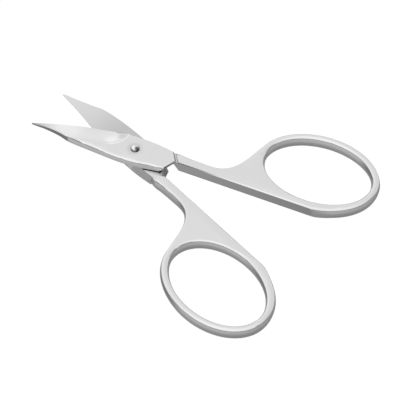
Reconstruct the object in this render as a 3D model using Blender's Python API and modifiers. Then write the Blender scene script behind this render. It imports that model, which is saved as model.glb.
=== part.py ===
"""Nail scissors with curved blades, as three pieces of stainless steel.

Each half is one forging: blade, joint plate, shank and finger ring. It is blanked to its outline,
its walls are rounded, the pocket for the other half is milled out, the blade is ground and then
bent. The lower half is the upper one turned over about the long axis and bent the same way.
A domed rivet holds both halves. X runs along the closed tool towards the rings, Z is up, and the
rivet's axis is the Z axis. Z is zero on the underside of the shanks.
"""
import math

import bmesh
import bpy
from mathutils import Matrix, Vector
from mathutils.geometry import interpolate_bezier
from mathutils.kdtree import KDTree

# Whole tool, in metres
STOCK_THICKNESS = 0.0035
BLADE_REACH = 0.0296
FACE_GAP = 0.00025
CLOSED_GAP = 0.0003
OPENING_SHOWN = math.radians(24.9)
OVERRUN = 0.002
WELD = 0.000002
MERGE = 0.0000008
SLICE_SNAP = 0.000008
SHARP_ANGLE = math.radians(30)

# Finger ring, at the middle of its wall, where the steel is widest
RING_HOLE_LENGTH = 0.02786
RING_HOLE_WIDTH = 0.01902
RING_CENTRE_REACH = 0.04509
RING_BAND = 0.00224
RING_INNER_BAND = 0.00277
WALL_UNDER_HOLE = 0.00238
RING_DRAFT = 0.0005
RING_SEGMENTS = 72

# Shank, and the web that widens it into the ring
SHANK_WIDTH = 0.0027
SHANK_DRAFT = 0.00045
SHANK_FLARE = 0.00037
SHANK_FLARE_RUN = 0.002
WEB_START_REACH = 0.0195
WEB_SHANK_PULL = 0.0066
WEB_RING_PULL = 0.0074
WEB_RING_ANGLE = math.radians(164)
WALL_END_BLEND = 0.0013
WEB_STEPS = 16

# Joint plate and blade in plan: shares of the blade's reach, then of the width of that side
CUTTING_SIDE_WIDTH = 0.00375
SPINE_SIDE_WIDTH = 0.0046
SPINE_DRAFT = 0.0005
PLATE_DRAFT = 0.0001
RIM_SOFTNESS = 0.0001
CUTTING_SIDE_SHARES = [
    (0.317, 0.805), (0.169, 0.96), (0.04, 1), (-0.1, 0.988), (-0.273, 0.936), (-0.455, 0.787),
    (-0.715, 0.432), (-1, 0.045),
]
TIP_SPINE_SHARES = [
    (-1, 0.037), (-0.926, 0.135), (-0.851, 0.224), (-0.7, 0.47), (-0.608, 0.678),
]
SPINE_SHARES = [
    (-0.608, 0.678), (-0.557, 0.761), (-0.437, 0.857), (-0.247, 0.957), (-0.06, 1), (0.097, 0.915),
    (0.184, 0.82), (0.318, 0.67),
]
RUN_STEPS = 5

# Back end of the joint plate, and the shoulder of the shank that faces the other half
PLATE_REAR_REACH = 0.0111
PLATE_REAR_THICKNESS = 0.0005
UNDERCUT_RUN = 0.0012
SHOULDER_RADIUS = 0.0107
SHOULDER_CORNER_REACH = 0.01195
SHOULDER_CORNER_ANGLE = math.radians(6.6)
SHOULDER_LEAN = 0.00045
SHOULDER_SIDE_LEAN = 0.0013
RELIEF_START_REACH = -0.001
RELIEF_FULL_REACH = 0.0025
RELIEF_RUN = 0.00125
RELIEF_DEPTH = 0.0013
GROOVE_RADIUS = 0.00042
GROOVE_DEPTH = 0.00023
GROOVE_OFFSET = 0.00028
GROOVE_SKEW = 0.0001

# Blade grinding and bend
EDGE_THICKNESS = 0.00008
TIP_THICKNESS = 0.00035
GRIND_START_REACH = 0.0036
GRIND_START_SIDE = 0.0032
GRIND_RUN_IN = 0.008
GRIND_LIFT = 0.00002
GRIND_OVERLAP = 0.00006
HOLLOW_RADIUS = 0.015
HOLLOW_STEPS = 7
PLUNGE_STEPS = 13
CUTTER_SLANT = 0.0005
TIP_STATIONS = 8
TIP_DROP_POWER = 1.4
BEND_START_REACH = 0.0074
BEND_RADIUS = 0.085
BEND_SLICES = 16

# Rivet
RIVET_RADIUS = 0.00075
RIVET_CLEARANCE = 0.00006
RIVET_HEAD_RADIUS = 0.00118
RIVET_HEAD_HEIGHT = 0.0006
RIVET_FOOT_RADIUS = 0.0013
RIVET_FOOT_HEIGHT = 0.0006
RIVET_SEAT_GAP = 0.0001
RIVET_DOME_STEPS = 8
RIVET_SEGMENTS = 48
DISH_RADIUS = 0.0021
DISH_DEPTH = 0.00012

# Heights of the wall's rings of points, as shares of half the thickness from its middle
WALL_LEVEL_SHARES = (-0.93, -0.72, -0.4, 0.0, 0.4, 0.72, 0.93)
WALL_POWER = 1.6
SAME_LEVEL = 0.01

HALF_THICKNESS = STOCK_THICKNESS / 2
PLATE_THICKNESS = HALF_THICKNESS - FACE_GAP / 2
INNER_FACE = HALF_THICKNESS + FACE_GAP / 2
INNER_WALL = CLOSED_GAP / 2
RING_CENTRE = Vector((RING_CENTRE_REACH, INNER_WALL + WALL_UNDER_HOLE + RING_HOLE_WIDTH / 2))
RING_HOLE_SIZE = Vector((RING_HOLE_LENGTH / 2, RING_HOLE_WIDTH / 2))
RING_OUTER_SIZE = RING_HOLE_SIZE + Vector((RING_BAND, RING_BAND))
RING_INNER_SIZE = RING_HOLE_SIZE + Vector((RING_BAND, RING_INNER_BAND))


def clear_scene():
    for item in list(bpy.data.objects):
        bpy.data.objects.remove(item, do_unlink=True)


def new_collection(name):
    collection = bpy.data.collections.new(name)
    bpy.context.scene.collection.children.link(collection)
    return collection


def steel(name, color, roughness):
    material = bpy.data.materials.new(name)
    material.use_nodes = True
    shader = material.node_tree.nodes["Principled BSDF"]
    shader.inputs["Base Color"].default_value = color
    shader.inputs["Metallic"].default_value = 1.0
    shader.inputs["Roughness"].default_value = roughness
    return material


def ellipse_point(centre, size, angle):
    return centre + Vector((size.x * math.cos(angle), size.y * math.sin(angle)))


def smooth_run(points, steps):
    """Points along a smooth curve through the given ones."""
    run = [points[0]]
    for number in range(len(points) - 1):
        first, last = points[number], points[number + 1]
        before = points[max(number - 1, 0)]
        after = points[min(number + 2, len(points) - 1)]
        leave = first + (last - before) / 6
        arrive = last - (after - first) / 6
        run += [Vector(p[:2]) for p in interpolate_bezier(first, leave, arrive, last, steps + 1)][1:]
    return run


def side_run(shares, width):
    """One side of the blade or plate in plan, from its table of shares."""
    return smooth_run([Vector((along * BLADE_REACH, out * width)) for along, out in shares], RUN_STEPS)


def cutting_side():
    return side_run(CUTTING_SIDE_SHARES, CUTTING_SIDE_WIDTH)


def spine_side():
    return side_run(TIP_SPINE_SHARES, -SPINE_SIDE_WIDTH) + side_run(SPINE_SHARES, -SPINE_SIDE_WIDTH)[1:]


def side_at(run, reach):
    """How far out a side's run lies at one place along the blade."""
    ordered = sorted(run, key=lambda point: point.x)
    if reach <= ordered[0].x:
        return ordered[0].y
    for low, high in zip(ordered, ordered[1:]):
        if low.x <= reach <= high.x:
            share = (reach - low.x) / max(high.x - low.x, MERGE)
            return low.y + share * (high.y - low.y)
    return ordered[-1].y


def ring_run():
    """Outer edge of the finger ring, from the end of the flat inner wall round to the web."""
    drop = (RING_CENTRE.y - INNER_WALL) / RING_INNER_SIZE.y
    start = -math.asin(drop)
    turn = 2 * math.pi / RING_SEGMENTS
    lower_count = max(round(-start / turn), 1)
    upper_count = max(round(WEB_RING_ANGLE / turn), 1)
    lower = [ellipse_point(RING_CENTRE, RING_INNER_SIZE, start * (1 - step / lower_count))
             for step in range(lower_count)]
    upper = [ellipse_point(RING_CENTRE, RING_OUTER_SIZE, WEB_RING_ANGLE * step / upper_count)
             for step in range(upper_count + 1)]
    return lower + upper


def web_run():
    """Concave edge from the ring down to the narrow shank."""
    top = ellipse_point(RING_CENTRE, RING_OUTER_SIZE, WEB_RING_ANGLE)
    across = Vector((RING_OUTER_SIZE.x * math.sin(WEB_RING_ANGLE),
                     -RING_OUTER_SIZE.y * math.cos(WEB_RING_ANGLE))).normalized()
    foot = Vector((WEB_START_REACH, INNER_WALL + SHANK_WIDTH))
    pulled = Vector((WEB_START_REACH + WEB_SHANK_PULL, foot.y))
    return [Vector(p[:2]) for p in interpolate_bezier(top, top - across * WEB_RING_PULL, pulled, foot,
                                                      WEB_STEPS + 1)][1:]


def outline():
    """The half's outer edge, and how far its wall is drawn in at the faces, point by point."""
    points, drafts = [], []

    def add(run, start, end):
        for number, point in enumerate(run):
            points.append(point)
            drafts.append(start + (end - start) * number / max(len(run) - 1, 1))

    ring = ring_run()
    add([Vector((PLATE_REAR_REACH, INNER_WALL))], 0, 0)
    add([Vector((ring[0].x - WALL_END_BLEND, INNER_WALL))], 0, 0)
    add(ring[:4], RING_DRAFT / 4, RING_DRAFT)
    add(ring[4:], RING_DRAFT, RING_DRAFT)
    add(web_run(), RING_DRAFT, SHANK_DRAFT)
    shoulder = cutting_side()
    flare = Vector((shoulder[0].x + SHANK_FLARE_RUN, points[-1].y + SHANK_FLARE))
    before = points[-1].lerp(flare, 2 / 3) - Vector((0, SHANK_FLARE / 3))
    add(smooth_run([points[-1], before, flare, shoulder[0]], RUN_STEPS)[1:-1], SHANK_DRAFT, SHANK_DRAFT)
    plate = [point for point in shoulder if point.x > -GRIND_START_REACH]
    add(plate, PLATE_DRAFT, PLATE_DRAFT)
    add(shoulder[len(plate):], 0, 0)
    add(side_run(TIP_SPINE_SHARES, -SPINE_SIDE_WIDTH), 0, 0)
    spine = side_run(SPINE_SHARES, -SPINE_SIDE_WIDTH)[1:]
    add(spine[:RUN_STEPS], SPINE_DRAFT / 2, SPINE_DRAFT)
    add(spine[RUN_STEPS:-RUN_STEPS], SPINE_DRAFT, SPINE_DRAFT)
    add(spine[-RUN_STEPS:], SPINE_DRAFT, 0)
    return points, drafts


def hole_outline():
    return [ellipse_point(RING_CENTRE, RING_HOLE_SIZE, -2 * math.pi * step / RING_SEGMENTS)
            for step in range(RING_SEGMENTS)]


def flat_curve(name, loops, half_height):
    """A filled flat curve of straight runs, extruded to both sides of its plane."""
    data = bpy.data.curves.new(name, "CURVE")
    data.dimensions = "2D"
    data.fill_mode = "BOTH"
    data.extrude = half_height
    for loop in loops:
        spline = data.splines.new("POLY")
        spline.points.add(len(loop) - 1)
        spline.use_cyclic_u = True
        for target, point in zip(spline.points, loop):
            target.co = (point.x, point.y, 0, 1)
    return data


def solid_from_curve(name, loops, low, high, collection):
    """The extruded outline as a mesh object that stands between two heights."""
    data = flat_curve(name, loops, (high - low) / 2)
    guide = bpy.data.objects.new(name, data)
    guide.location.z = (high + low) / 2
    collection.objects.link(guide)
    bpy.context.view_layer.update()
    graph = bpy.context.evaluated_depsgraph_get()
    mesh = bpy.data.meshes.new_from_object(guide.evaluated_get(graph))
    mesh.transform(guide.matrix_world)
    bpy.data.objects.remove(guide)
    bpy.data.curves.remove(data)
    work = bmesh.new()
    work.from_mesh(mesh)
    bmesh.ops.remove_doubles(work, verts=work.verts, dist=MERGE)
    bmesh.ops.recalc_face_normals(work, faces=work.faces)
    work.to_mesh(mesh)
    work.free()
    mesh.name = name
    piece = bpy.data.objects.new(name, mesh)
    collection.objects.link(piece)
    return piece


def edge_normals(loop):
    """Unit normals at the points of a loop, pointing out of the steel."""
    normals = []
    for number, point in enumerate(loop):
        before = (point - loop[number - 1]).normalized()
        after = (loop[(number + 1) % len(loop)] - point).normalized()
        along = before + after
        normals.append(Vector((along.y, -along.x)).normalized())
    return normals


def round_walls(piece, loops, drafts):
    """Slice the walls by height and draw each slice in, most at the two faces."""
    tree = KDTree(sum(len(loop) for loop in loops))
    records = []
    for loop, draft in zip(loops, drafts):
        for point, normal, amount in zip(loop, edge_normals(loop), draft):
            tree.insert(point.to_3d(), len(records))
            records.append((normal, amount))
    tree.balance()
    work = bmesh.new()
    work.from_mesh(piece.data)
    for share in WALL_LEVEL_SHARES:
        height = HALF_THICKNESS * (1 + share)
        bmesh.ops.bisect_plane(work, geom=work.verts[:] + work.edges[:] + work.faces[:],
                               plane_co=(0, 0, height), plane_no=(0, 0, 1))
    for vert in work.verts:
        normal, amount = records[tree.find((vert.co.x, vert.co.y, 0))[1]]
        share = abs(vert.co.z / HALF_THICKNESS - 1)
        rim = RIM_SOFTNESS if share > WALL_LEVEL_SHARES[-1] + SAME_LEVEL else 0
        vert.co -= normal.to_3d() * (amount * share ** WALL_POWER + rim)
    for height in (0, STOCK_THICKNESS):
        rim = [vert for vert in work.verts if abs(vert.co.z - height) < EDGE_THICKNESS]
        level = set(rim)
        caps = [face for face in work.faces if level.issuperset(face.verts)]
        bmesh.ops.delete(work, geom=caps, context="FACES")
        edges = [edge for edge in work.edges if edge.is_boundary and level.issuperset(edge.verts)]
        bmesh.ops.triangle_fill(work, use_beauty=True, use_dissolve=False, edges=edges)
    bmesh.ops.triangulate(work, faces=work.faces)
    bmesh.ops.recalc_face_normals(work, faces=work.faces)
    work.to_mesh(piece.data)
    work.free()


def as_cutter(piece):
    piece.hide_render = True
    piece.display_type = "WIRE"
    return piece


def cut(target, cutter):
    boolean = target.modifiers.new(cutter.name, "BOOLEAN")
    boolean.operation = "DIFFERENCE"
    boolean.solver = "EXACT"
    boolean.object = as_cutter(cutter)


def bake(target):
    """Replace an object's mesh by the mesh that its modifiers make."""
    bpy.context.view_layer.update()
    graph = bpy.context.evaluated_depsgraph_get()
    mesh = bpy.data.meshes.new_from_object(target.evaluated_get(graph))
    target.modifiers.clear()
    target.data = mesh


def slice_across(piece, place, normal):
    """Open a cutter's mesh for work, with a ring of points where a plane crosses it."""
    work = bmesh.new()
    work.from_mesh(piece.data)
    bmesh.ops.bisect_plane(work, geom=work.verts[:] + work.edges[:] + work.faces[:],
                           plane_co=place, plane_no=normal)
    return work


def split_flat(piece, work):
    """Split a cutter's faces into triangles, so that every one of them is flat, and keep them."""
    bmesh.ops.triangulate(work, faces=work.faces)
    work.to_mesh(piece.data)
    work.free()


def shoulder_slope(side):
    """Lean of the shoulder, as run over height: it lies back more at the shank's outer side."""
    share = min(max((side - INNER_WALL) / SHANK_WIDTH, 0), 1)
    return (SHOULDER_LEAN + (SHOULDER_SIDE_LEAN - SHOULDER_LEAN) * share) / INNER_FACE


def pocket_cutter(collection):
    """What is milled away under the plate and blade, back to the shank's leaning shoulder."""
    far = BLADE_REACH + OVERRUN
    wide = SPINE_SIDE_WIDTH + OVERRUN
    corner = SHOULDER_CORNER_ANGLE
    arc = [Vector((math.cos(angle), math.sin(angle))) * SHOULDER_RADIUS
           for angle in (math.pi / 3 + (corner - math.pi / 3) * step / WEB_STEPS
                         for step in range(WEB_STEPS + 1))]
    back = Vector((SHOULDER_CORNER_REACH, INNER_WALL))
    lead = (back - arc[-1]).normalized() * OVERRUN
    loop = [Vector((-far, wide)), Vector((-far, -wide)), Vector((back.x + lead.x, -wide)),
            back + lead] + arc[::-1] + [Vector((arc[0].x, wide + SHOULDER_RADIUS)),
                                        Vector((-far, wide + SHOULDER_RADIUS))]
    piece = solid_from_curve("pocket_cutter", [loop[1:]], -OVERRUN, INNER_FACE, collection)
    work = slice_across(piece, (0, 0, -GRIND_OVERLAP), (0, 0, 1))
    for vert in work.verts:
        if vert.co.x > -OVERRUN and vert.co.z > 0:
            vert.co.x -= shoulder_slope(vert.co.y) * vert.co.z
    split_flat(piece, work)
    return piece


def wedge(name, start, end, sizes, ends, collection):
    """Wedge-shaped cutter along the line from start to end: it rises over the run to that line."""
    run, rise, above = sizes
    along = (end - start).normalized()
    outward = Vector((-along.y, along.x))
    slope = rise / run
    profile = [Vector((-run - above / slope, -above)), Vector((OVERRUN, -above)),
               Vector((OVERRUN, rise + OVERRUN * slope))]
    piece = solid_from_curve(name, [profile], ends[0], ends[1], collection)
    axes = Matrix((outward.to_3d(), Vector((0, 0, 1)), along.to_3d())).transposed().to_4x4()
    axes.translation = Vector((start.x, start.y, INNER_FACE))
    piece.data.transform(axes)
    return piece


def undercut_cutter(collection):
    """Wedge that thins the plate's back end from its inner face."""
    rear = Vector((PLATE_REAR_REACH, INNER_WALL))
    share, out = SPINE_SHARES[-1]
    corner = Vector((share * BLADE_REACH, -out * SPINE_SIDE_WIDTH))
    rise = STOCK_THICKNESS - PLATE_REAR_THICKNESS - INNER_FACE
    ends = (GRIND_OVERLAP, (corner - rear).length + OVERRUN)
    return wedge("undercut_cutter", rear, corner, (UNDERCUT_RUN, rise, OVERRUN), ends, collection)


def relief_cutter(collection):
    """Wedge that bevels the plate's cutting side from its inner face, up to the leaning shoulder."""
    side = cutting_side()
    front = Vector((RELIEF_START_REACH, side_at(side, RELIEF_START_REACH)))
    rear = side[0]
    along = (rear - front).normalized()
    ends = (0, (rear - front).length)
    piece = wedge("relief_cutter", front, rear, (RELIEF_RUN, RELIEF_DEPTH, GRIND_OVERLAP), ends, collection)
    work = slice_across(piece, (RELIEF_FULL_REACH, 0, 0), (1, 0, 0))
    for vert in work.verts:
        if vert.co.x > (RELIEF_FULL_REACH + rear.x) / 2:
            reach = math.sqrt(SHOULDER_RADIUS ** 2 - vert.co.y ** 2)
            target = reach - shoulder_slope(vert.co.y) * vert.co.z
            vert.co += along.to_3d() * ((target - vert.co.x) / along.x)
        elif vert.co.x < (RELIEF_START_REACH + RELIEF_FULL_REACH) / 2:
            vert.co.y += RELIEF_RUN
    split_flat(piece, work)
    return piece


def groove_cutter(collection):
    """Rod across the outer face, where the plate ends and the shank begins."""
    share, out = CUTTING_SIDE_SHARES[0]
    start = Vector((share * BLADE_REACH, out * CUTTING_SIDE_WIDTH))
    end = Vector((PLATE_REAR_REACH, INNER_WALL))
    plate_end = (end - start).normalized()
    across = Vector((-plate_end.y, plate_end.x))
    middle = (start + end) / 2 + across * GROOVE_OFFSET
    along = (end - start + across * GROOVE_SKEW * 2).normalized()
    height = STOCK_THICKNESS + GROOVE_RADIUS - GROOVE_DEPTH
    work = bmesh.new()
    bmesh.ops.create_cone(work, cap_ends=True, segments=RIVET_SEGMENTS, radius1=GROOVE_RADIUS,
                          radius2=GROOVE_RADIUS, depth=(end - start).length + 2 * OVERRUN)
    turn = Vector((0, 0, 1)).rotation_difference(along.to_3d()).to_matrix().to_4x4()
    turn.translation = (middle.x, middle.y, height)
    bmesh.ops.transform(work, matrix=turn, verts=work.verts)
    return mesh_object("groove_cutter", work, collection)


def mesh_object(name, work, collection):
    bmesh.ops.recalc_face_normals(work, faces=work.faces)
    mesh = bpy.data.meshes.new(name)
    work.to_mesh(mesh)
    work.free()
    piece = bpy.data.objects.new(name, mesh)
    collection.objects.link(piece)
    return piece


def hollow_section(edge_side, edge_depth, line_side, line_depth):
    """One section of what the wheel grinds off: depths count down from the outer face."""
    edge = Vector((edge_side + GRIND_OVERLAP, STOCK_THICKNESS + GRIND_LIFT - edge_depth))
    line = Vector((line_side - GRIND_OVERLAP, STOCK_THICKNESS + GRIND_LIFT - line_depth))
    chord = line - edge
    sag = chord.length ** 2 / (8 * HOLLOW_RADIUS)
    across = Vector((chord.y, -chord.x)).normalized()
    if across.y > 0:
        across = -across
    curve = []
    for step in range(HOLLOW_STEPS + 1):
        share = step / HOLLOW_STEPS
        curve.append(edge + chord * share + across * sag * 4 * share * (1 - share))
    leave = (curve[-1] - curve[-2]).normalized() * OVERRUN
    top = STOCK_THICKNESS + OVERRUN
    wing = edge_side + OVERRUN
    return ([Vector((wing, edge.y))] + curve + [curve[-1] + leave]
            + [Vector((curve[-1].x + leave.x - CUTTER_SLANT, top)), Vector((wing, top))])


def grind_cutter(collection):
    """What the wheel takes off the outer face: a hollow from the edge up to the spine."""
    cutting, spine = cutting_side(), spine_side()
    kink_reach = -TIP_SPINE_SHARES[-1][0] * BLADE_REACH
    kink_side = TIP_SPINE_SHARES[-1][1] * SPINE_SIDE_WIDTH
    depth = PLATE_THICKNESS - EDGE_THICKNESS
    drop = PLATE_THICKNESS - TIP_THICKNESS
    sections = []
    for step in range(PLUNGE_STEPS):
        angle = math.pi / 2 * step / (PLUNGE_STEPS - 1)
        reach = kink_reach - (kink_reach - GRIND_START_REACH) * math.cos(angle)
        line = GRIND_START_SIDE - (GRIND_START_SIDE + kink_side) * math.sin(angle)
        run_in = min((reach - GRIND_START_REACH) / GRIND_RUN_IN, 1)
        sections.append((-reach, hollow_section(side_at(cutting, -reach),
                                                depth * math.sin(math.pi / 2 * run_in), line, 0)))
    for step in range(1, TIP_STATIONS + 1):
        share = step / TIP_STATIONS
        reach = kink_reach + (BLADE_REACH - kink_reach) * share
        sections.append((-reach, hollow_section(side_at(cutting, -reach), depth,
                                                side_at(spine, -reach),
                                                drop * share ** TIP_DROP_POWER)))
    sections.append((-BLADE_REACH - OVERRUN, sections[-1][1]))
    work = bmesh.new()
    rings = [[work.verts.new((reach, point.x, point.y)) for point in section]
             for reach, section in sections]
    for first, second in zip(rings, rings[1:]):
        for number in range(len(first)):
            after = (number + 1) % len(first)
            work.faces.new((first[number], first[after], second[after], second[number]))
    work.faces.new(rings[0])
    work.faces.new(rings[-1])
    bmesh.ops.triangulate(work, faces=work.faces)
    return mesh_object("grind_cutter", work, collection)


def turned(name, profile, collection):
    """A closed profile of (radius, height) points turned about the rivet's axis."""
    mesh = bpy.data.meshes.new(name)
    count = len(profile)
    mesh.from_pydata([(radius, 0, height) for radius, height in profile],
                     [(number, number + 1) for number in range(count - 1)], [])
    piece = bpy.data.objects.new(name, mesh)
    collection.objects.link(piece)
    screw = piece.modifiers.new("turn", "SCREW")
    screw.axis = "Z"
    screw.steps = RIVET_SEGMENTS
    screw.render_steps = RIVET_SEGMENTS
    screw.use_merge_vertices = True
    screw.merge_threshold = SLICE_SNAP
    bake(piece)
    work = bmesh.new()
    work.from_mesh(piece.data)
    bmesh.ops.remove_doubles(work, verts=work.verts, dist=SLICE_SNAP)
    bmesh.ops.recalc_face_normals(work, faces=work.faces)
    work.to_mesh(piece.data)
    work.free()
    return piece


def rivet_profile():
    """Domed head, shaft and the wide foot that is hammered flush with the underside."""
    seat = STOCK_THICKNESS - DISH_DEPTH + RIVET_SEAT_GAP
    dome = []
    for step in range(RIVET_DOME_STEPS + 1):
        angle = math.pi / 2 * (1 - step / RIVET_DOME_STEPS)
        dome.append((RIVET_HEAD_RADIUS * math.cos(angle), seat + RIVET_HEAD_HEIGHT * math.sin(angle)))
    return dome + [(RIVET_RADIUS, seat), (RIVET_RADIUS, RIVET_FOOT_HEIGHT), (RIVET_FOOT_RADIUS, 0),
                   (0, 0)]


def rivet_hole_profile(foot):
    """Hole for the shaft, with the countersink for the foot where the half has one."""
    hole = RIVET_RADIUS + RIVET_CLEARANCE
    top = STOCK_THICKNESS + OVERRUN
    if not foot:
        return [(0, top), (hole, top), (hole, -OVERRUN), (0, -OVERRUN)]
    slope = (RIVET_FOOT_RADIUS - RIVET_RADIUS) / RIVET_FOOT_HEIGHT
    below = hole + slope * (RIVET_FOOT_HEIGHT + OVERRUN)
    return [(0, top), (hole, top), (hole, RIVET_FOOT_HEIGHT), (below, -OVERRUN), (0, -OVERRUN)]


def dish_profile():
    """Shallow round seat in the outer face under the rivet's head."""
    rise = DISH_RADIUS ** 2 / (2 * DISH_DEPTH)
    points = []
    for step in range(RIVET_DOME_STEPS + 1):
        radius = (DISH_RADIUS + OVERRUN) * (1 - step / RIVET_DOME_STEPS)
        points.append((radius, STOCK_THICKNESS - DISH_DEPTH + radius ** 2 / (2 * rise)))
    return [(0, STOCK_THICKNESS + OVERRUN), (DISH_RADIUS + OVERRUN, STOCK_THICKNESS + OVERRUN)] + points


def bend_blade(piece):
    """Slice the blade across, then curve it down about the rivet, alike in every direction."""
    work = bmesh.new()
    work.from_mesh(piece.data)
    bmesh.ops.remove_doubles(work, verts=work.verts, dist=WELD)
    bmesh.ops.dissolve_degenerate(work, edges=work.edges, dist=WELD)
    spare = [vert for vert in work.verts if len(vert.link_edges) == 2]
    bmesh.ops.dissolve_verts(work, verts=spare)
    bmesh.ops.triangulate(work, faces=work.faces)
    pitch = (BLADE_REACH - BEND_START_REACH) / BEND_SLICES
    for number in range(BEND_SLICES):
        reach = BEND_START_REACH + pitch * number
        bmesh.ops.bisect_plane(work, geom=work.verts[:] + work.edges[:] + work.faces[:],
                               dist=SLICE_SNAP, plane_co=(-reach, 0, 0), plane_no=(1, 0, 0))
    for vert in work.verts:
        radius = vert.co.xy.length
        if vert.co.x < 0 and radius > BEND_START_REACH:
            vert.co.z -= (radius - BEND_START_REACH) ** 2 / (2 * BEND_RADIUS)
    bmesh.ops.triangulate(work, faces=work.faces)
    work.to_mesh(piece.data)
    work.free()


def ground_half(name, material, parts, cutters, hole, dish):
    """One half, lying shut along X with its outer face up."""
    edge, edge_draft = outline()
    hole_edge = hole_outline()
    piece = solid_from_curve(name, [edge, hole_edge], 0, STOCK_THICKNESS, parts)
    round_walls(piece, [edge, hole_edge], [edge_draft, [RING_DRAFT] * len(hole_edge)])
    for cutter in cutters:
        cut(piece, cutter)
    cut(piece, hole)
    if dish:
        cut(piece, dish)
    bake(piece)
    piece.data.materials.clear()
    piece.data.materials.append(material)
    return piece


def finish(piece, turn):
    """Turn a half to the opening that is shown, about the rivet, and shade it."""
    piece.rotation_euler.z = turn
    piece.data.shade_smooth()
    piece.data.set_sharp_from_angle(angle=SHARP_ANGLE)


def main():
    clear_scene()
    parts = new_collection("nail_scissors")
    tools = new_collection("cutters")
    satin = steel("satin_steel", (0.72, 0.72, 0.73, 1), 0.32)
    satin_lower = steel("satin_steel_lower", (0.70, 0.70, 0.71, 1), 0.34)
    bright = steel("polished_steel", (0.78, 0.78, 0.79, 1), 0.12)

    shared = [pocket_cutter(tools), relief_cutter(tools), undercut_cutter(tools), groove_cutter(tools),
              grind_cutter(tools)]
    upper_hole = turned("upper_hole_cutter", rivet_hole_profile(False), tools)
    dish = turned("dish_cutter", dish_profile(), tools)
    lower_hole = turned("lower_hole_cutter", rivet_hole_profile(True), tools)
    turn_over = Matrix.Translation((0, 0, STOCK_THICKNESS)) @ Matrix.Rotation(math.pi, 4, "X")
    lower_hole.data.transform(turn_over)

    upper = ground_half("upper_half", satin, parts, shared, upper_hole, dish)
    bend_blade(upper)
    finish(upper, OPENING_SHOWN / 2)

    lower = ground_half("lower_half", satin_lower, parts, shared, lower_hole, None)
    lower.data.transform(turn_over)
    bend_blade(lower)
    finish(lower, -OPENING_SHOWN / 2)

    rivet = turned("pivot_rivet", rivet_profile(), parts)
    rivet.data.materials.append(bright)
    finish(rivet, 0)


main()
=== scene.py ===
"""Nail scissors with curved blades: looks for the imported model, and the studio around it."""
import math
from collections import defaultdict

import bmesh
import bpy
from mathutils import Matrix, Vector


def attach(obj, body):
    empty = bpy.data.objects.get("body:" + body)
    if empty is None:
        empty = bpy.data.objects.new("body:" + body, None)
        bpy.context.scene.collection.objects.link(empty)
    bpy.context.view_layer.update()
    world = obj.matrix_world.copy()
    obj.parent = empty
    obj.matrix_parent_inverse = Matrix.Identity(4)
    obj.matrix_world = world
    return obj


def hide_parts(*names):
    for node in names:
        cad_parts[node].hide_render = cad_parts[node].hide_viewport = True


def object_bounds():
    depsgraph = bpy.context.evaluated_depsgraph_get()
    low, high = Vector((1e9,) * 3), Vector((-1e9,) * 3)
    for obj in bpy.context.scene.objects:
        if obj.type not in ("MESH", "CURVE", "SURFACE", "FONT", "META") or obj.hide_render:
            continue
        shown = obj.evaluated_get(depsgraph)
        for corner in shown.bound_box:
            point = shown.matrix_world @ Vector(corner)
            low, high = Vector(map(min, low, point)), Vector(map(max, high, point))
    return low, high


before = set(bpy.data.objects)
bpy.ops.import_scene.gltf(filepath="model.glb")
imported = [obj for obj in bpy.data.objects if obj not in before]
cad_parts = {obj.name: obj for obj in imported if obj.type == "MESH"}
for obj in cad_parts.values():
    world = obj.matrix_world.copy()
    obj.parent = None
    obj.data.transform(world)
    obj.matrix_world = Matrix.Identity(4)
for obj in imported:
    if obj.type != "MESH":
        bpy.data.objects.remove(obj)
cad_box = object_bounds()

# Upper half: one forging of stainless steel that is blade, joint plate, shank and ring. It is
# blanked, drawn in along its walls, milled flat where it meets the other half and hollow ground
# along the blade. A fine belt that runs along the tool leaves it satin and rolls its rims over.

half_opening = math.radians(12.45)
thickness = 0.0035
inner_depth = 0.001625
bend_start = 0.0074
bend_radius = 0.085
dish_edge = 0.0026
same_place = 0.00001
weld_distance = 0.000001
sliver_length = 0.000002


def merged_copy(node, name):
    """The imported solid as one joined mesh, on a new object that stands for it."""
    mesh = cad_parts[node].data.copy()
    mesh.name = name
    piece = bpy.data.objects.new(name, mesh)
    bpy.context.scene.collection.objects.link(piece)
    work = bmesh.new()
    work.from_mesh(mesh)
    bmesh.ops.remove_doubles(work, verts=work.verts, dist=weld_distance)
    bmesh.ops.dissolve_degenerate(work, edges=work.edges, dist=sliver_length)
    work.to_mesh(mesh)
    work.free()
    mesh.materials.clear()
    bpy.ops.object.select_all(action="DESELECT")
    piece.select_set(True)
    bpy.context.view_layer.objects.active = piece
    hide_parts(node)
    return piece


def height_before_bend(place):
    """Height that a point of a blade had before the blade was bent down."""
    reach = place.xy.length
    if place.x > 0 or reach < bend_start:
        return place.z
    return place.z + (reach - bend_start) ** 2 / (2 * bend_radius)


def depth_in_steel(vert):
    """How deep a point lies under the nearer of the half's two outer faces."""
    height = height_before_bend(vert.co)
    return min(height, thickness - height)


# Where each ground place lies, in metres from the rivet, and how squarely its faces look out.
blade_from = -0.003
tip_from, tip_thin = -0.0165, -0.0205
tip_lean, tip_thin_lean = 0.7, 0.9
flat_facing, straight_facing, hollow_facing, groove_facing = 0.9, 0.9995, 0.5, 0.2
groove_from, groove_to = 0.0092, 0.0121
groove_depth = 0.00024
groove_reach = 0.0115


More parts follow.
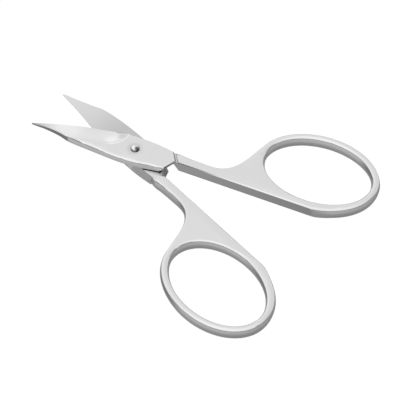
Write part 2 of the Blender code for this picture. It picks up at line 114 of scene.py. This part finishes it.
def finish_of(face, length_way, spine_way, side):
    """What a face got last: the name of the tool's mark, or of the place it lies in."""
    depths = [depth_in_steel(vert) for vert in face.verts]
    middle = face.calc_center_median()
    out_face = face.normal.z * side
    spine_face = face.normal.dot(spine_way)
    if max(abs(depth) for depth in depths) < same_place:
        return "flat"
    if all(abs(depth - inner_depth) < same_place for depth in depths) and out_face < -flat_facing:
        return "inner"
    if middle.x < tip_from and spine_face > 0 \
            and abs(out_face) < (tip_thin_lean if middle.x < tip_thin else tip_lean):
        return "tip_back"
    if spine_face > straight_facing:
        return "straight"
    if middle.x < blade_from and out_face > hollow_facing:
        return "hollow"
    if groove_from < middle.dot(length_way) < groove_to and middle.xy.length < groove_reach \
            and out_face > groove_facing and max(depths) < groove_depth:
        return "groove"
    return "belt"


# Painted shade: how dark the groove's walls and floor are painted, and the straight wall at its
# ring end.
groove_wall_lean = 0.12
groove_far_wall_shade, groove_near_wall_shade, groove_floor_shade = 0.62, 0.4, 0.1
wall_shade_darkest = 0.22
wall_shade_from, wall_shade_length = 0.028, 0.019


def painted_shade_of(finish, face, vert, length_way):
    """How much painted shade a corner of a face gets: in the groove, and towards the ring on the
    straight wall.
    """
    if finish == "straight":
        along = (vert.co.dot(length_way) - wall_shade_from) / wall_shade_length
        return wall_shade_darkest * max(0, min(1, along))
    if finish != "groove":
        return 0.0
    lean = face.normal.dot(length_way)
    if abs(lean) <= groove_wall_lean:
        return groove_floor_shade
    return groove_far_wall_shade if lean > 0 else groove_near_wall_shade


# The solid's rims are flat chamfers of one depth. The belt takes them this far round, less where
# the spine thins out towards the tip.
rim_depth = 0.0001225
rim_slack = 0.000016
rim_roll = 0.0002
spine_roll = 0.00035
spine_end, spine_taper = 0.0154, 0.13
shank_from = 0.0095
wall_reach = 0.0006
wall_share, wall_draw = 0.8, 0.4


def rim_width(vert, outward, spine_way):
    """How far the belt rolled a rim over: most along the spine, and nothing on the far side."""
    if vert.co.x > shank_from:
        return rim_roll
    if outward.dot(spine_way) < 0:
        return 0
    if vert.co.x >= 0:
        return spine_roll
    return max(0, min(spine_roll, (spine_end - vert.co.xy.length) * spine_taper))


def roll_rims(work, flats, spine_way):
    """Roll the narrow rims over and return their faces."""
    tops, lows = {}, {}
    for face in work.faces:
        depths = [depth_in_steel(vert) for vert in face.verts]
        if face not in flats and all(abs(depth) < same_place or abs(depth - rim_depth) < rim_slack
                                     for depth in depths):
            for vert, depth in zip(face.verts, depths):
                group = lows if depth > rim_depth / 2 else tops
                group.setdefault(vert, []).append(face)
    moves = []
    for vert, faces in tops.items():
        outward = Vector((0, 0))
        for face in faces:
            outward += face.normal.xy.normalized() * face.calc_area()
        if outward.length > 0:
            roll = rim_width(vert, outward, spine_way)
            moves.append((vert, -outward.normalized().to_3d() * roll))
    for vert, faces in lows.items():
        if vert in tops:
            continue
        outward = sum((face.normal.xy for face in faces), Vector((0, 0)))
        roll = min(rim_width(vert, outward, spine_way), rim_roll)
        deeper = [edge.other_vert(vert).co - vert.co for edge in vert.link_edges]
        deeper = [step for step in deeper
                  if abs(step.z) > rim_roll and step.xy.length < wall_reach]
        if deeper:
            step = min(deeper, key=lambda item: item.length)
            moves.append((vert, step * min(roll / abs(step.z), wall_share)))
        elif outward.length > 0:
            down = -1 if height_before_bend(vert.co) > thickness / 2 else 1
            sideways = outward.normalized().to_3d() * roll * wall_draw
            moves.append((vert, Vector((0, 0, down)) * roll + sideways))
    for vert, move in moves:
        vert.co += move
    return {face for faces in tops.values() for face in faces}


# The rims that the hollow leaves thin near the tip, and the relieved corner beside the shoulder.
thin_rims_from = -0.015
thin_rims_facing, thin_rims_facing_to = 0.2, 0.95
relief_from, relief_to = -0.003, 0.0105
relief_facing, relief_facing_to = -0.97, -0.08
smooth_angle = math.radians(32)


def borders(edge, faces):
    """Whether an edge is where a group of faces ends."""
    return sum(face in faces for face in edge.link_faces) == 1


def dress_ground_steel(piece, turn, side):
    """Rolled rims, crisp lines where a ground flat ends, and a record of each face's finish.

    The record holds the ground inner face, the back of the tip, the painted shade of the groove
    and of the straight wall, and the outer faces, as red, green, blue and alpha."""
    length_way = Vector((math.cos(turn), math.sin(turn), 0))
    spine_way = Vector((math.sin(turn), -math.cos(turn), 0)) * side
    bpy.ops.object.shade_smooth_by_angle(angle=smooth_angle)
    work = bmesh.new()
    work.from_mesh(piece.data)
    record = work.loops.layers.float_color.new("finish")
    marks = defaultdict(set)
    for face in work.faces:
        finish = finish_of(face, length_way, spine_way, side)
        marks[finish].add(face)
        out_face = face.normal.z * side
        outer = finish == "hollow" or (finish == "flat" and out_face > flat_facing)
        for loop in face.loops:
            loop[record] = (finish == "inner", finish == "tip_back",
                            painted_shade_of(finish, face, loop.vert, length_way), outer)
        middle = face.calc_center_median()
        deepest = max(depth_in_steel(vert) for vert in face.verts)
        if finish != "flat" and middle.x < thin_rims_from and deepest < rim_depth + same_place \
                and thin_rims_facing < out_face < thin_rims_facing_to \
                and face.normal.dot(spine_way) > thin_rims_facing:
            marks["thin_rim"].add(face)
        if finish not in ("flat", "inner") and relief_from < middle.x < relief_to \
                and relief_facing < out_face < relief_facing_to:
            marks["relief"].add(face)
    rims = roll_rims(work, marks["flat"], spine_way.xy)
    for edge in work.edges:
        if len(edge.link_faces) != 2:
            continue
        on_rim = any(face in rims for face in edge.link_faces)
        on_dish = min(vert.co.xy.length for vert in edge.verts) < dish_edge
        if borders(edge, marks["flat"]):
            edge.smooth = on_rim or on_dish
        elif borders(edge, marks["inner"]):
            edge.smooth = False
        elif borders(edge, marks["straight"]):
            edge.smooth = on_rim
        elif borders(edge, marks["thin_rim"]):
            edge.smooth = True
        if any(face in marks["relief"] for face in edge.link_faces) \
                or borders(edge, marks["groove"]) or borders(edge, marks["tip_back"]):
            edge.smooth = False
    work.normal_update()
    work.to_mesh(piece.data)
    work.free()
    weigh = piece.modifiers.new("even_flats", "WEIGHTED_NORMAL")
    weigh.mode = "FACE_AREA"
    weigh.keep_sharp = True
    bpy.ops.object.modifier_apply(modifier=weigh.name)


def grey(level):
    """A grey as a colour."""
    return level, level, level, 1


def math_step(tree, operation, first, second):
    """One sum of two sockets, or of a socket and a number."""
    step = tree.nodes.new("ShaderNodeMath")
    step.operation = operation
    for slot, value in enumerate((first, second)):
        if isinstance(value, (int, float)):
            step.inputs[slot].default_value = value
        else:
            tree.links.new(value, step.inputs[slot])
    return step.outputs[0]


def times(tree, first, second):
    """One value times another."""
    return math_step(tree, "MULTIPLY", first, second)


def span(tree, source, low, high, low_value=0, high_value=1, curve="SMOOTHSTEP"):
    """A value that goes from one level to another while the source crosses a span."""
    step = tree.nodes.new("ShaderNodeMapRange")
    step.interpolation_type = curve
    for name, value in (("From Min", low), ("From Max", high),
                        ("To Min", low_value), ("To Max", high_value)):
        step.inputs[name].default_value = value
    tree.links.new(source, step.inputs["Value"])
    return step.outputs["Result"]


def leaning(tree, source, way):
    """How far a place or a direction goes a given way."""
    lean = tree.nodes.new("ShaderNodeVectorMath")
    lean.operation = "DOT_PRODUCT"
    lean.inputs[1].default_value = way
    tree.links.new(source, lean.inputs[0])
    return lean.outputs["Value"]


def distance_to(tree, along, across, point):
    """Distance in the plane of the tool from a point given in the half's own directions."""
    squares = []
    for source, start in zip((along, across), point):
        step = math_step(tree, "SUBTRACT", source, start)
        squares.append(times(tree, step, step))
    return math_step(tree, "SQRT", math_step(tree, "ADD", *squares), 0)


def spot_at(tree, along, across, point, spread):
    """A round mask about a point, full up to one distance and gone at another."""
    return span(tree, distance_to(tree, along, across, point), *spread, 1, 0)


def two_tones(tree, source, low, high):
    """A grey that changes between two levels."""
    step = tree.nodes.new("ShaderNodeMix")
    step.data_type = "RGBA"
    step.inputs[6].default_value = grey(low)
    step.inputs[7].default_value = grey(high)
    tree.links.new(source, step.inputs[0])
    return step.outputs[2]


def toned(tree, source, mask, level):
    """The colour so far, times a level where the mask is full."""
    step = tree.nodes.new("ShaderNodeMix")
    step.data_type = "RGBA"
    step.blend_type = "MULTIPLY"
    step.inputs[7].default_value = grey(level)
    tree.links.new(mask, step.inputs[0])
    tree.links.new(source, step.inputs[6])
    return step.outputs[2]


steel_tone, belt_tone = 0.74, 0.96
smoothest, roughest = 0.15, 0.25
belt_lines = (700, 9000, 9000)
belt_strength, belt_height = 0.05, 0.00002
inner_tone, gap_painted_shadow, tip_back_painted_shade, dish_painted_shade = 0.75, 0.1, 0.55, 0.86
# Painted highlights and painted shade on the hollow, and where they lie.
plunge_painted_highlight, patch_painted_shade, glint_painted_highlight, belly_painted_sheen, tip_painted_shade = 1.22, 0.82, 1.15, 1.1, 0.9
wheel_middle, patch_point, glint_point = (-0.0090, 0.0039), (-0.0047, 0.0026), (-0.0068, 0.0003)
shut_line_way = (0.4288, 0.9034)

# Where each tone starts and ends, in metres, and then its first and last level where these are
# other than 0 and 1.
joint_grey_start, joint_grey_end = (-0.020, -0.006, 0.35, 1), (-0.002, 0.002, 1, 0)
# Where the painted shadow along the edge of the other half's plate starts and ends.
gap_shadow_start, gap_shadow_end = (0, 0.002), (0.0028, 0.0047, 1, 0)
dish_shade_spread, patch_spread, glint_spread = (0.0012, dish_edge), (0.0004, 0.0017), (0.0003, 0.0026)
plunge_inside, plunge_outside = (0.0055, 0.0057), (0.0058, 0.0060, 1, 0)
plunge_start, hollow_end = (-0.0085, -0.0055), (0.0056, 0.0058, 1, 0)
belly_start, belly_end = (-0.0245, -0.0215), (-0.0185, -0.0135, 1, 0)
tip_end = (-0.0275, -0.0240, 1, 0)


def satin_steel(name, turn, side):
    """Stainless steel with the fine lines of a belt and the tones of each ground place, among them
    painted shade, a painted shadow along the joint and painted highlights on the hollow.
    """
    material = bpy.data.materials.new(name)
    material.use_nodes = True
    tree = material.node_tree
    shader = tree.nodes["Principled BSDF"]
    shader.inputs["Metallic"].default_value = 1.0

    place = tree.nodes.new("ShaderNodeTexCoord").outputs["Object"]
    belt = tree.nodes.new("ShaderNodeMapping")
    belt.inputs["Rotation"].default_value = (0, 0, -turn)
    belt.inputs["Scale"].default_value = belt_lines
    lines = tree.nodes.new("ShaderNodeTexNoise")
    lines.inputs["Scale"].default_value = 1.0
    lines.inputs["Detail"].default_value = 3.0
    tree.links.new(place, belt.inputs["Vector"])
    tree.links.new(belt.outputs["Vector"], lines.inputs["Vector"])
    rough = span(tree, lines.outputs["Fac"], 0, 1, smoothest, roughest, "LINEAR")
    tree.links.new(rough, shader.inputs["Roughness"])
    color = two_tones(tree, lines.outputs["Fac"], steel_tone * belt_tone, steel_tone)

    finish = tree.nodes.new("ShaderNodeVertexColor")
    finish.layer_name = "finish"
    outer = finish.outputs["Alpha"]
    record = tree.nodes.new("ShaderNodeSeparateColor")
    tree.links.new(finish.outputs["Color"], record.inputs["Color"])
    inner, tip_back, painted_shade = (record.outputs[name] for name in ("Red", "Green", "Blue"))
    along = leaning(tree, place, (math.cos(turn), math.sin(turn), 0))
    across = leaning(tree, place, (-side * math.sin(turn), side * math.cos(turn), 0))

    near_joint = times(tree, span(tree, along, *joint_grey_start),
                       span(tree, along, *joint_grey_end))
    color = toned(tree, color, times(tree, inner, near_joint), inner_tone)
    shut_line = math_step(tree, "ADD", times(tree, along, shut_line_way[0]),
                          times(tree, across, shut_line_way[1]))
    # Painted shadow: the ground inner face is painted almost black along the edge of the other
    # half's plate.
    gap_shadow = times(tree, span(tree, shut_line, *gap_shadow_end), span(tree, along, *gap_shadow_start))
    color = toned(tree, color, times(tree, inner, gap_shadow), gap_painted_shadow)
    # Painted shade on the back of the tip.
    color = toned(tree, color, tip_back, tip_back_painted_shade)
    # Painted shade in the groove and along the straight wall.
    color = toned(tree, color, painted_shade, 0)
    # Painted shade in the shallow dish round the rivet.
    color = toned(tree, color, spot_at(tree, along, across, (0, 0), dish_shade_spread), dish_painted_shade)

    # Painted light on the hollow: a painted highlight along the plunge, a painted shade patch and
    # a painted glint inside it, a painted sheen on the belly and painted shade towards the tip.
    wheel = distance_to(tree, along, across, wheel_middle)
    plunge = times(tree, span(tree, wheel, *plunge_inside), span(tree, wheel, *plunge_outside))
    plunge = times(tree, plunge, span(tree, along, *plunge_start))
    hollow = times(tree, outer, span(tree, wheel, *hollow_end))
    patch = spot_at(tree, along, across, patch_point, patch_spread)
    glint = spot_at(tree, along, across, glint_point, glint_spread)
    belly = times(tree, span(tree, along, *belly_start), span(tree, along, *belly_end))
    tip = span(tree, along, *tip_end)
    for mask, level, where in ((plunge, plunge_painted_highlight, outer), (patch, patch_painted_shade, hollow),
                               (glint, glint_painted_highlight, hollow), (belly, belly_painted_sheen, outer),
                               (tip, tip_painted_shade, outer)):
        color = toned(tree, color, times(tree, mask, where), level)
    tree.links.new(color, shader.inputs["Base Color"])

    bump = tree.nodes.new("ShaderNodeBump")
    bump.inputs["Strength"].default_value = belt_strength
    bump.inputs["Distance"].default_value = belt_height
    tree.links.new(lines.outputs["Fac"], bump.inputs["Height"])
    tree.links.new(bump.outputs["Normal"], shader.inputs["Normal"])
    return material


upper = merged_copy("upper_half", "upper_half_ground")
dress_ground_steel(upper, half_opening, 1)
upper.data.materials.append(satin_steel("satin_steel_upper", half_opening, 1))
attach(upper, "upper")

# Lower half: the same stainless forging turned over, so that its milled plate carries the upper
# one and its blade shows the flat ground inner face. It is dressed on the same wheels and belt.

lower = merged_copy("lower_half", "lower_half_ground")
dress_ground_steel(lower, -half_opening, -1)
lower.data.materials.append(satin_steel("satin_steel_under", -half_opening, -1))
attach(lower, "lower")

# Rivet: a polished steel dome whose foot is hammered flush into the lower half. Its head is
# brushed round and round by the polishing cup, with painted shade round the dome's foot and on one
# side, and a painted highlight spot.

rivet_smooth_angle = math.radians(30)
cup_rings, cup_wobble = 2500, 1.5
cup_dark, cup_light = 0.68, 0.74
cup_smoothest, cup_roughest = 0.08, 0.14
# Where and how strongly the dome's painted shade and painted highlight lie.
dome_foot_spread = (0.00078, 0.00104)
dark_side_point, highlight_point = (0.00075, -0.0001), (-0.00018, -0.00035)
dark_side_spread, highlight_spread = (0.0003, 0.00085), (0.00012, 0.00042)
dome_foot_painted_shade, dark_side_painted_shade, highlight_painted_tone = 0.45, 0.18, 1.35

rivet = merged_copy("pivot_rivet", "pivot_rivet_polished")
bpy.ops.object.shade_smooth_by_angle(angle=rivet_smooth_angle)
polished = bpy.data.materials.new("polished_rivet_steel")
polished.use_nodes = True
polish_tree = polished.node_tree
polish = polish_tree.nodes["Principled BSDF"]
polish.inputs["Metallic"].default_value = 1.0
rivet_place = polish_tree.nodes.new("ShaderNodeTexCoord").outputs["Object"]
rings = polish_tree.nodes.new("ShaderNodeTexWave")
rings.wave_type = "RINGS"
rings.rings_direction = "Z"
rings.inputs["Scale"].default_value = cup_rings
rings.inputs["Distortion"].default_value = cup_wobble
polish_tree.links.new(rivet_place, rings.inputs["Vector"])
rivet_x = leaning(polish_tree, rivet_place, (1, 0, 0))
rivet_y = leaning(polish_tree, rivet_place, (0, 1, 0))
dome_reach = distance_to(polish_tree, rivet_x, rivet_y, (0, 0))
# Painted shade round the foot of the dome and on one side, and a painted highlight spot.
dome_foot = span(polish_tree, dome_reach, *dome_foot_spread)
painted_dark_side = spot_at(polish_tree, rivet_x, rivet_y, dark_side_point, dark_side_spread)
painted_highlight = spot_at(polish_tree, rivet_x, rivet_y, highlight_point, highlight_spread)
rivet_color = two_tones(polish_tree, rings.outputs["Fac"], cup_dark, cup_light)
for mask, level in ((dome_foot, dome_foot_painted_shade), (painted_dark_side, dark_side_painted_shade), (painted_highlight, highlight_painted_tone)):
    rivet_color = toned(polish_tree, rivet_color, mask, level)
polish_tree.links.new(rivet_color, polish.inputs["Base Color"])
haze = span(polish_tree, rings.outputs["Fac"], 0, 1, cup_smoothest, cup_roughest, "LINEAR")
polish_tree.links.new(haze, polish.inputs["Roughness"])
rivet.data.materials.append(polished)
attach(rivet, "lower")

# Studio: a table lit from below so that nothing casts a shadow on it, a white tent above and grey
# surroundings at table height, which is what the upright walls of the steel mirror.

table_size, table_middle, table_gap = 4.0, 0.02, 0.0002
table_tone, table_glow = 0.05, 0.98

scene = bpy.context.scene
scene.view_settings.view_transform = "Standard"
table_height = cad_box[0].z - table_gap
bpy.ops.mesh.primitive_plane_add(size=table_size, location=(table_middle, 0, table_height))
table = bpy.context.active_object
table.name = "pale_table"
paper = bpy.data.materials.new("glowing_table")
paper.use_nodes = True
paper_shader = paper.node_tree.nodes["Principled BSDF"]
paper_shader.inputs["Base Color"].default_value = grey(table_tone)
paper_shader.inputs["Specular IOR Level"].default_value = 0
paper_shader.inputs["Roughness"].default_value = 1
paper_shader.inputs["Emission Color"].default_value = grey(1)
paper_shader.inputs["Emission Strength"].default_value = table_glow
table.data.materials.append(paper)
table.visible_glossy = False

world = bpy.data.worlds.new("light_tent")
scene.world = world
world.use_nodes = True
tent = world.node_tree
direction = tent.nodes.new("ShaderNodeTexCoord").outputs["Generated"]
tent_height = span(tent, leaning(tent, direction, (0, 0, 1)), -1, 1, 0, 1, "LINEAR")


def tent_side(name, levels):
    """Brightness of one side of the tent from straight down to straight up."""
    ramp = tent.nodes.new("ShaderNodeValToRGB")
    ramp.name = name
    stops = ramp.color_ramp.elements
    for height, level in levels[1:-1]:
        stops.new((height + 1) / 2)
    for stop, (height, level) in zip(stops, levels):
        stop.position = (height + 1) / 2
        stop.color = grey(level)
    tent.links.new(tent_height, ramp.inputs["Fac"])
    return ramp.outputs["Color"]


def dimmed(source, way, change):
    """The tent's light, times a level that changes as the direction turns towards a way."""
    step = tent.nodes.new("ShaderNodeVectorMath")
    step.operation = "SCALE"
    tent.links.new(source, step.inputs[0])
    level = span(tent, leaning(tent, direction, way), *change)
    tent.links.new(level, step.inputs["Scale"])
    return step.outputs["Vector"]


azimuth, elevation = math.radians(36.34), math.radians(52.12)
front = Vector((math.sin(azimuth), -math.cos(azimuth), 0))
right = Vector((math.cos(azimuth), math.sin(azimuth), 0))
card_way = (right * -0.86 - front * 0.4 - Vector((0, 0, 0.3))).normalized()
side_change, card_spread, slant = (-0.35, 0.25), (0.78, 0.97, 1, 0.5), (-1, 1, 1.12, 0.88)
front_side = tent_side("front_side", (
    (-1, 0.3), (-0.74, 0.36), (-0.55, 0.48), (-0.3, 0.6), (-0.08, 0.52), (0.08, 0.18),
    (0.36, 0.2), (0.58, 0.95), (0.75, 1.15), (1, 1.2)))
back_side = tent_side("back_side", (
    (-1, 0.33), (-0.35, 0.4), (-0.2, 0.6), (-0.08, 0.95), (0.15, 1.04), (0.4, 1.04),
    (0.62, 0.97), (0.8, 0.96), (0.92, 1.0), (1, 1.2)))
both_sides = tent.nodes.new("ShaderNodeMix")
both_sides.data_type = "RGBA"
tent.links.new(span(tent, leaning(tent, direction, front), *side_change), both_sides.inputs[0])
tent.links.new(back_side, both_sides.inputs[6])
tent.links.new(front_side, both_sides.inputs[7])
tent_light = dimmed(both_sides.outputs[2], card_way, card_spread)
tent_light = dimmed(tent_light, right, slant)
tent.links.new(tent_light, tent.nodes["Background"].inputs["Color"])

lens, distance = 167.9, 0.4798
aim = Vector((0.02627, -0.00452, 0.0035))
camera_data = bpy.data.cameras.new("product_camera")
camera = bpy.data.objects.new("product_camera", camera_data)
scene.collection.objects.link(camera)
camera_data.sensor_width = 36
camera_data.lens = lens
camera_data.clip_start = 0.01
camera_data.clip_end = 20
away = front * math.cos(elevation) + Vector((0, 0, math.sin(elevation)))
camera.location = aim + away * distance
camera.rotation_euler = away.to_track_quat("Z", "Y").to_euler()
scene.camera = camera
